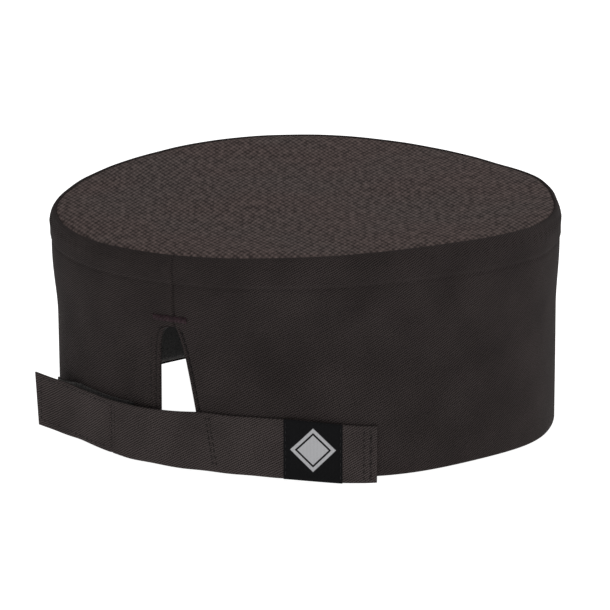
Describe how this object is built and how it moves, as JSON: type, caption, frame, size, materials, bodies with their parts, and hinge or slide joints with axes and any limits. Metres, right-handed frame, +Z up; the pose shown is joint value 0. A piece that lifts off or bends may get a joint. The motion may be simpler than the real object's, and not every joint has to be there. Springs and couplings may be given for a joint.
{
  "type": "chef skull cap",
  "caption": "Flat-topped chef's skull cap with a mesh crown, twill band and an adjustable hook-and-loop strap across the back opening.",
  "frame": {"origin": "centre of the rim, on the plane of the band's lower edge", "axes": "+Z up through the crown, -Y towards the wearer's face, +Y towards the back opening, +X the side that the strap's free tip is on"},
  "size_m": [0.1961, 0.1942, 0.0897],
  "materials": {
    "band_twill": "matt dark grey-brown cotton twill",
    "crown_mesh": "matt dark warm grey knitted mesh",
    "lining": "matt black plain weave",
    "sweatband": "matt black towelling",
    "loop_tape": "matt black loop tape",
    "hook_tape": "black nylon hook tape",
    "dark_thread": "polyester sewing thread",
    "tack_thread": "dense polyester thread",
    "label_weave": "fine black woven label with a pale grey diamond"
  },
  "bodies": {
    "cap": {"side_band": "band_twill", "band_lining": "lining", "sweatband": "sweatband", "sweatband_stitches": "dark_thread", "crown_panel": "crown_mesh", "crown_seam_binding": "lining", "binding_stitches": "dark_thread", "opening_hem_left": "band_twill", "opening_hem_right": "band_twill", "opening_stitches_left": "dark_thread", "opening_stitches_right": "dark_thread", "bar_tack": "tack_thread", "loop_patch": "loop_tape", "loop_patch_stitches": "dark_thread", "strap_anchor": "band_twill", "strap_end_stitches": "dark_thread", "strap_hinge_stitches": "dark_thread", "woven_label": "label_weave", "label_stitches": "dark_thread"},
    "strap": {"strap_span": "band_twill"},
    "tail": {"strap_tail": "band_twill", "hook_patch": "hook_tape", "hook_patch_stitches": "dark_thread"}
  },
  "joints": [
    {"name": "strap_swing", "type": "hinge", "parent": "cap", "child": "strap", "pos_m": [-0.01541, 0.09416, 0.0106], "axis": [0, 0, 1], "range_deg": [0, 100]},
    {"name": "tail_peel", "type": "hinge", "parent": "strap", "child": "tail", "pos_m": [0.02483, 0.09435, 0.0106], "axis": [0, 0, 1], "range_deg": [0, 70]}
  ]
}
